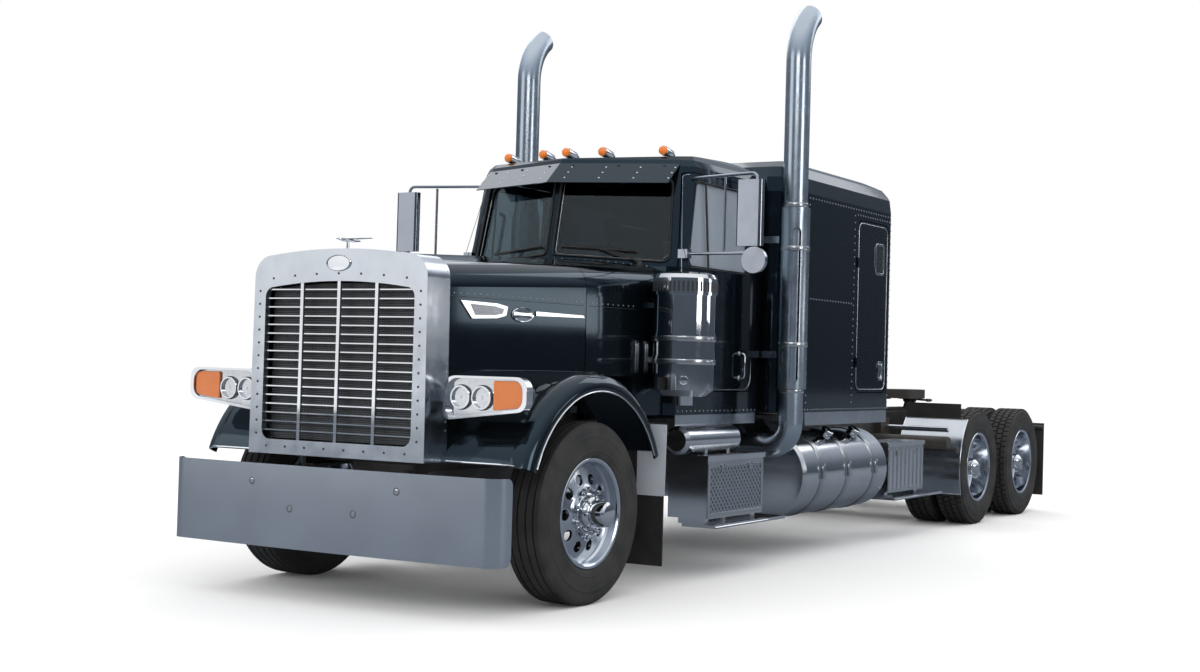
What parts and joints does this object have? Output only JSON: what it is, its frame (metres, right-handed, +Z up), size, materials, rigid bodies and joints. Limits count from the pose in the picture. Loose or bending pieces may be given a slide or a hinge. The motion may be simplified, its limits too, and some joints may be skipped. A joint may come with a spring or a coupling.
{
  "type": "long-nose highway tractor with sleeper",
  "caption": "Conventional long-nose sleeper tractor unit with tall grille, deep front bumper, twin exhaust stacks, side fuel tanks and a tilting coupling plate over tandem drive axles",
  "frame": {"origin": "on the floor under the middle of the overall box", "axes": "the tractor faces -Y, its left side is +X, up is +Z"},
  "size_m": [3.096, 9.9298, 4.1175],
  "materials": {
    "black_paint": "gloss",
    "frame_paint": "satin",
    "chrome": "polished",
    "polished_aluminium": "polished",
    "brushed_steel": "brushed",
    "cast_iron": "painted",
    "engine_paint": "painted",
    "core_fins": "matte",
    "tyre": "matte",
    "rubber": "matte",
    "glass": "clear",
    "amber_lens": "gloss",
    "red_lens": "gloss",
    "dash_plastic": "matte",
    "seat_leather": "grained",
    "bunk_fabric": "woven"
  },
  "bodies": {
    "chassis": {"frame": "frame_paint", "bumper": "polished_aluminium", "engine": "engine_paint", "radiator": "core_fins", "front_axle": "cast_iron", "drive_axles": "cast_iron", "driveshaft": "brushed_steel", "suspension": "cast_iron", "fuel_tanks": "polished_aluminium", "tank_straps": "brushed_steel", "side_steps": "polished_aluminium", "air_tanks": "polished_aluminium", "quarter_fenders": "chrome", "mudflaps": "rubber", "tail_lamps": "red_lens", "exhaust_stacks": "chrome", "air_cleaners": "chrome", "cab": "black_paint", "windshield": "glass", "visor": "black_paint", "roof_lamps": "amber_lens", "dash": "dash_plastic", "seats": "seat_leather", "sleeper": "black_paint", "bunk": "bunk_fabric", "skirts": "brushed_steel", "fifth_wheel_base": "cast_iron"},
    "hood": {"hood": "black_paint", "grille_shell": "chrome", "grille_bars": "chrome", "headlamps": "chrome"},
    "fifth_wheel_plate": {"fifth_wheel": "cast_iron"},
    "track_rod": {"tie_rod": "cast_iron"},
    "door_left": {"door_left": "black_paint", "door_glass_left": "glass", "mirror_left": "chrome"},
    "bunk_door_left": {"bunk_door_left": "black_paint"},
    "knuckle_left": {"knuckle_left": "cast_iron"},
    "wheel_front_left": {"front_tyre_left": "tyre", "front_rim_left": "polished_aluminium"},
    "wheel_drive_1_left": {"drive_1_tyres_left": "tyre", "drive_1_rims_left": "polished_aluminium"},
    "wheel_drive_2_left": {"drive_2_tyres_left": "tyre", "drive_2_rims_left": "polished_aluminium"},
    "door_right": {"door_right": "black_paint", "door_glass_right": "glass", "mirror_right": "chrome"},
    "bunk_door_right": {"bunk_door_right": "black_paint"},
    "knuckle_right": {"knuckle_right": "cast_iron"},
    "wheel_front_right": {"front_tyre_right": "tyre", "front_rim_right": "polished_aluminium"},
    "wheel_drive_1_right": {"drive_1_tyres_right": "tyre", "drive_1_rims_right": "polished_aluminium"},
    "wheel_drive_2_right": {"drive_2_tyres_right": "tyre", "drive_2_rims_right": "polished_aluminium"}
  },
  "joints": [
    {"name": "hood_tilt", "type": "hinge", "parent": "chassis", "child": "hood", "pos_m": [0, -4.805, 0.88], "axis": [1, 0, 0], "range_deg": [0, 60]},
    {"name": "fifth_wheel_tilt", "type": "hinge", "parent": "chassis", "child": "fifth_wheel_plate", "pos_m": [0, 3.215, 1.16], "axis": [1, 0, 0], "range_deg": [-12, 12]},
    {"name": "door_hinge_left", "type": "hinge", "parent": "chassis", "child": "door_left", "pos_m": [0.938, -2.538, 1.9], "axis": [0, 0, -1], "range_deg": [0, 70]},
    {"name": "bunk_door_hinge_left", "type": "hinge", "parent": "chassis", "child": "bunk_door_left", "pos_m": [1.165, -0.048, 1.9], "axis": [0, 0, -1], "range_deg": [0, 90]},
    {"name": "steer_left", "type": "hinge", "parent": "chassis", "child": "knuckle_left", "pos_m": [0.9, -3.935, 0.54], "axis": [0, 0, 1], "range_deg": [-35, 35]},
    {"name": "spin_front_left", "type": "hinge", "parent": "knuckle_left", "child": "wheel_front_left", "pos_m": [1.043, -3.935, 0.54], "axis": [1, 0, 0], "continuous": true},
    {"name": "spin_drive_1_left", "type": "hinge", "parent": "chassis", "child": "wheel_drive_1_left", "pos_m": [0.94, 2.815, 0.54], "axis": [1, 0, 0], "continuous": true},
    {"name": "spin_drive_2_left", "type": "hinge", "parent": "chassis", "child": "wheel_drive_2_left", "pos_m": [0.94, 4.155, 0.54], "axis": [1, 0, 0], "continuous": true},
    {"name": "door_hinge_right", "type": "hinge", "parent": "chassis", "child": "door_right", "pos_m": [-0.938, -2.538, 1.9], "axis": [0, 0, 1], "range_deg": [0, 70]},
    {"name": "bunk_door_hinge_right", "type": "hinge", "parent": "chassis", "child": "bunk_door_right", "pos_m": [-1.165, -0.048, 1.9], "axis": [0, 0, 1], "range_deg": [0, 90]},
    {"name": "steer_right", "type": "hinge", "parent": "chassis", "child": "knuckle_right", "pos_m": [-0.9, -3.935, 0.54], "axis": [0, 0, 1], "range_deg": [-35, 35]},
    {"name": "spin_front_right", "type": "hinge", "parent": "knuckle_right", "child": "wheel_front_right", "pos_m": [-1.043, -3.935, 0.54], "axis": [1, 0, 0], "continuous": true},
    {"name": "spin_drive_1_right", "type": "hinge", "parent": "chassis", "child": "wheel_drive_1_right", "pos_m": [-0.94, 2.815, 0.54], "axis": [1, 0, 0], "continuous": true},
    {"name": "spin_drive_2_right", "type": "hinge", "parent": "chassis", "child": "wheel_drive_2_right", "pos_m": [-0.94, 4.155, 0.54], "axis": [1, 0, 0], "continuous": true},
    {"name": "track_rod_pivot", "type": "hinge", "parent": "knuckle_left", "child": "track_rod", "pos_m": [0.9, -3.735, 0.455], "axis": [0, 0, 1], "range_deg": [-35, 35]}
  ],
  "couplings": [
    {"joint": "steer_right", "follows": "steer_left", "ratio": 1},
    {"joint": "track_rod_pivot", "follows": "steer_left", "ratio": -1}
  ]
}
